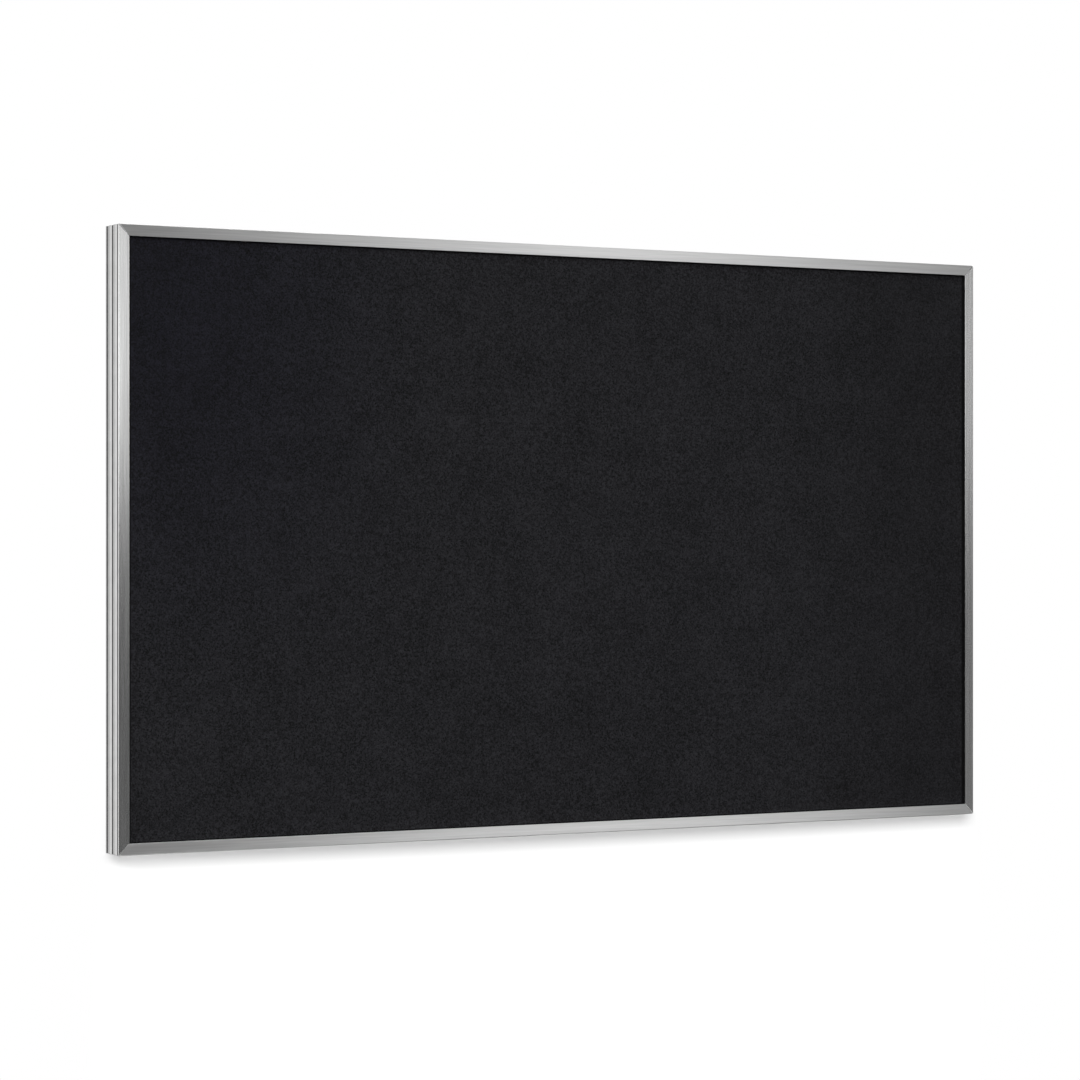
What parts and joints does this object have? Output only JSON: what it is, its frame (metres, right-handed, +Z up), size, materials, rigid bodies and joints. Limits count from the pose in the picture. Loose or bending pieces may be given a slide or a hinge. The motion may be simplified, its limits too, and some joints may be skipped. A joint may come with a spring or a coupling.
{
  "type": "rubber tackboard",
  "caption": "Wide wall tackboard: a black granulated rubber sheet on a backing board, held in a deep mitred aluminium frame with reeded sides, corner plates and wall hangers.",
  "frame": {"origin": "back of the middle wall hanger, midway between its two screw holes, where the wall holds the board", "axes": "+Z up, +X along the board to the right as seen from the front, +Y out of its back into the wall, so the tack surface faces -Y"},
  "size_m": [1.524, 0.0508, 0.9144],
  "materials": {
    "satin_aluminium": "satin anodised, brushed along each rail",
    "black_rubber": "matt, fine granules",
    "hardboard": "pressed fibre",
    "plated_steel": "zinc plated",
    "black_steel": "black oxide"
  },
  "bodies": {
    "root": {"top_rail": "satin_aluminium", "bottom_rail": "satin_aluminium", "left_rail": "satin_aluminium", "right_rail": "satin_aluminium", "rubber_sheet": "black_rubber", "backing_board": "hardboard", "corner_plate_bottom_left": "plated_steel", "corner_plate_bottom_right": "plated_steel", "corner_plate_top_left": "plated_steel", "corner_plate_top_right": "plated_steel", "corner_shim_bottom_left": "plated_steel", "corner_shim_bottom_right": "plated_steel", "corner_shim_top_left": "plated_steel", "corner_shim_top_right": "plated_steel", "set_screw_bottom_left_1": "black_steel", "set_screw_bottom_left_2": "black_steel", "set_screw_bottom_left_3": "black_steel", "set_screw_bottom_left_4": "black_steel", "set_screw_bottom_right_1": "black_steel", "set_screw_bottom_right_2": "black_steel", "set_screw_bottom_right_3": "black_steel", "set_screw_bottom_right_4": "black_steel", "set_screw_top_left_1": "black_steel", "set_screw_top_left_2": "black_steel", "set_screw_top_left_3": "black_steel", "set_screw_top_left_4": "black_steel", "set_screw_top_right_1": "black_steel", "set_screw_top_right_2": "black_steel", "set_screw_top_right_3": "black_steel", "set_screw_top_right_4": "black_steel", "wall_hanger_left": "plated_steel", "wall_hanger_middle": "plated_steel", "wall_hanger_right": "plated_steel"}
  },
  "joints": []
}
